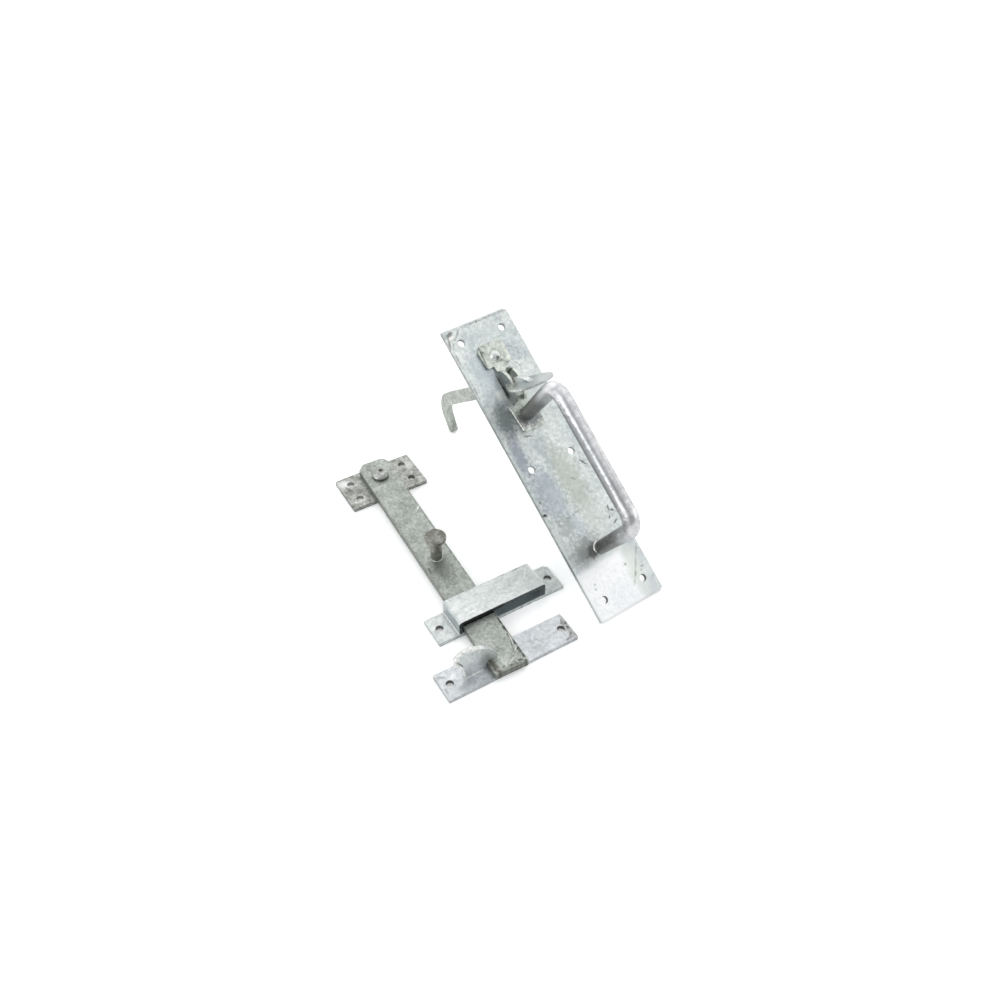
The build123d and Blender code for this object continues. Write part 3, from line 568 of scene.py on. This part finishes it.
# The lumpy skin along the keep's nib, from its foot over the brow and down the ramp: x and z.
NIB_EDGE = [
    (-63.0, 4.0), (-63.6, 8.6), (-64.4, 12.6), (-66.4, 16.8), (-69.0, 20.4), (-69.4, 22.6),
    (-67.9, 24.8), (-65.8, 26.2), (-63.2, 26.8), (-60.4, 26.5), (-57.4, 25.7), (-54.0, 24.5),
]
NIB_LUMPS_A_SPAN = 4
NIB_Y, NIB_WANDER = -98.9, 0.25
NIB_LUMP, NIB_LUMP_CHANGE = 0.95, 0.5
NIB_HALF_THICK, NIB_OVERHANG = 1.45, 0.25
nib_crest = []
for step in range(NIB_LUMPS_A_SPAN * (len(NIB_EDGE) - 1)):
    span, part = divmod(step, NIB_LUMPS_A_SPAN)
    (start_x, start_z), (end_x, end_z) = NIB_EDGE[span], NIB_EDGE[span + 1]
    reach = part / NIB_LUMPS_A_SPAN
    bulge = NIB_LUMP + NIB_LUMP_CHANGE * noise.noise(Vector((step * 0.83, 4.1, 0.3)))
    nib_crest.append((
        start_x + (end_x - start_x) * reach,
        NIB_Y + NIB_WANDER * noise.noise(Vector((step * 1.3, 0.2, 7.7))),
        start_z + (end_z - start_z) * reach,
        bulge, NIB_HALF_THICK + NIB_OVERHANG * bulge, bulge,
    ))
bead_line("nib_crest_beads", table_place, nib_crest, "fixed_set")
CRUMB_Z, CRUMB_HALF_HIGH = 2.8, 0.34  # low enough for the bar to pass over them
bead_line("keep_end_beads", table_place, [
    (x, y, CRUMB_Z, half_x, half_y, CRUMB_HALF_HIGH) for x, y, half_x, half_y in (
        (8.7, -93.2, 1.1, 1.3), (9.7, -95.2, 0.9, 1.2), (8.4, -98.0, 0.8, 0.9),
        (9.6, -102.2, 0.9, 1.1), (8.3, -103.6, 0.9, 0.7), (9.3, -106.6, 1.0, 1.0),
        (6.4, -106.0, 1.0, 0.8),
    )
], "fixed_set", crumb_zinc)
bead_line("bracket_edge_bead", handle_place, [
    (-9.3, 144.8, 4.9, 0.6, 1.5, 0.5), (-9.1, 142.0, 4.9, 0.5, 1.8, 0.45),
    (-8.9, 139.0, 4.9, 0.5, 1.8, 0.4), (-8.7, 136.0, 4.9, 0.5, 1.8, 0.45),
    (-8.4, 133.0, 4.9, 0.45, 1.7, 0.4), (-8.2, 130.2, 4.9, 0.45, 1.6, 0.4),
], "fixed_set")
bead_line("bridge_foot_bead", table_place, [
    (guide_x - 31.1, guide_y + y, 3.0, 0.5, 2.2, 0.5) for y in (-8.2, -4.8, -1.6, 1.8, 5.2, 8.2)
], "fixed_set")
bead_line("nib_foot_bead", table_place, [
    (-61.5, -100.5, 3.1, 1.8, 0.5, 0.5), (-58.3, -100.5, 3.1, 2.0, 0.45, 0.45),
    (-55.0, -100.5, 3.1, 2.0, 0.5, 0.45), (-51.8, -100.5, 3.1, 1.8, 0.5, 0.5),
], "fixed_set")


# ---------------------------------------------------------------- table and light

CAMERA_GAIN = 1.25
CAMERA_LIFT = 0.12
MIRRORED_LIFT = 0.3
TABLE_TINT = "#e6e5e3"
TABLE_ROUGHNESS = 0.9
TABLE_SHINE = 0.1
TABLE_HALF = 3.0


def white_table():
    """A matt white table top that the camera and the metal see as white, with its shadows kept."""
    material = bpy.data.materials.new("matt white table top")
    material.use_nodes = True
    tree = material.node_tree
    surface = tree.nodes["Principled BSDF"]
    surface.inputs["Roughness"].default_value = TABLE_ROUGHNESS
    surface.inputs["Specular IOR Level"].default_value = TABLE_SHINE
    surface.inputs["Emission Color"].default_value = (1, 1, 1, 1)
    seen = add(tree, "ShaderNodeLightPath").outputs
    white = (CAMERA_GAIN, CAMERA_GAIN, CAMERA_GAIN, 1)
    paint = mixed(tree, seen["Is Camera Ray"], tint(TABLE_TINT), white)
    mirrored = maths(tree, "ADD", seen["Is Glossy Ray"], seen["Is Transmission Ray"])
    mirrored = maths(tree, "MULTIPLY", mirrored, MIRRORED_LIFT)
    lift = maths(tree, "MULTIPLY_ADD", seen["Is Camera Ray"], CAMERA_LIFT, mirrored)
    tree.links.new(paint, surface.inputs["Base Color"])
    tree.links.new(lift, surface.inputs["Emission Strength"])
    return material


table_mesh = bpy.data.meshes.new("table_top")
table_mesh.from_pydata(
    [(x * TABLE_HALF, y * TABLE_HALF, 0) for x, y in ((-1, -1), (1, -1), (1, 1), (-1, 1))],
    [], [(0, 1, 2, 3)],
)
table_mesh.materials.append(white_table())
table_top = bpy.data.objects.new("table_top", table_mesh)
bpy.context.collection.objects.link(table_top)

# The room is white on one side and greyer on the other, with a dim patch high up by the camera
# and a glow low on the left. Each patch has its direction, how squarely that way a ray has to
# look for it to start and to be full, and what it multiplies or adds there.
BRIGHT_SIDE = (0.81, 0.52, 0.29)
SIDE_STOPS = [(0.0, "#b4b6b8"), (0.5, "#d6d8da"), (0.78, "#ffffff")]
DIM_PATCH, DIM_SPAN, DIM_GAIN = (-0.46, -0.44, 0.77), (0.93, 0.985), (1.0, 0.3)
GLOW_PATCH, GLOW_SPAN, GLOW_LIFT = (-0.96, -0.12, 0.25), (0.72, 0.96), (0.0, 0.8)
ROOM_STRENGTH = 1.2
room = bpy.data.worlds.new("studio")
bpy.context.scene.world = room
room.use_nodes = True
room_tree = room.node_tree
around = add(room_tree, "ShaderNodeTexCoord").outputs["Generated"]
side = vectors(room_tree, "DOT_PRODUCT", around, BRIGHT_SIDE)
sweep = ramp(room_tree, ranged(room_tree, side, (-1.0, 1.0), (0.0, 1.0)), SIDE_STOPS)
toward_dim = vectors(room_tree, "DOT_PRODUCT", around, DIM_PATCH)
dimming = ranged(room_tree, toward_dim, DIM_SPAN, DIM_GAIN, smooth=True)
toward_glow = vectors(room_tree, "DOT_PRODUCT", around, GLOW_PATCH)
glow = ranged(room_tree, toward_glow, GLOW_SPAN, GLOW_LIFT, smooth=True)
sweep = vectors(room_tree, "ADD", scaled(room_tree, sweep, dimming), glow)
direct = add(room_tree, "ShaderNodeLightPath").outputs["Is Camera Ray"]
backdrop = room_tree.nodes["Background"]
room_tree.links.new(mixed(room_tree, direct, sweep, (1, 1, 1, 1)), backdrop.inputs["Color"])
backdrop.inputs["Strength"].default_value = ROOM_STRENGTH


def soft_box(name, place, size, power):
    """A square diffused lamp that faces the latch."""
    lamp = bpy.data.lights.new(name, "AREA")
    lamp.size = size
    lamp.energy = power
    stand = bpy.data.objects.new(name, lamp)
    stand.location = place
    stand.rotation_euler = (-Vector(place)).to_track_quat("-Z", "Y").to_euler()
    bpy.context.collection.objects.link(stand)


soft_box("left_soft_box", place=(-1.18, -0.26, 0.48), size=0.4, power=0.95)

bpy.context.scene.view_settings.view_transform = "Standard"
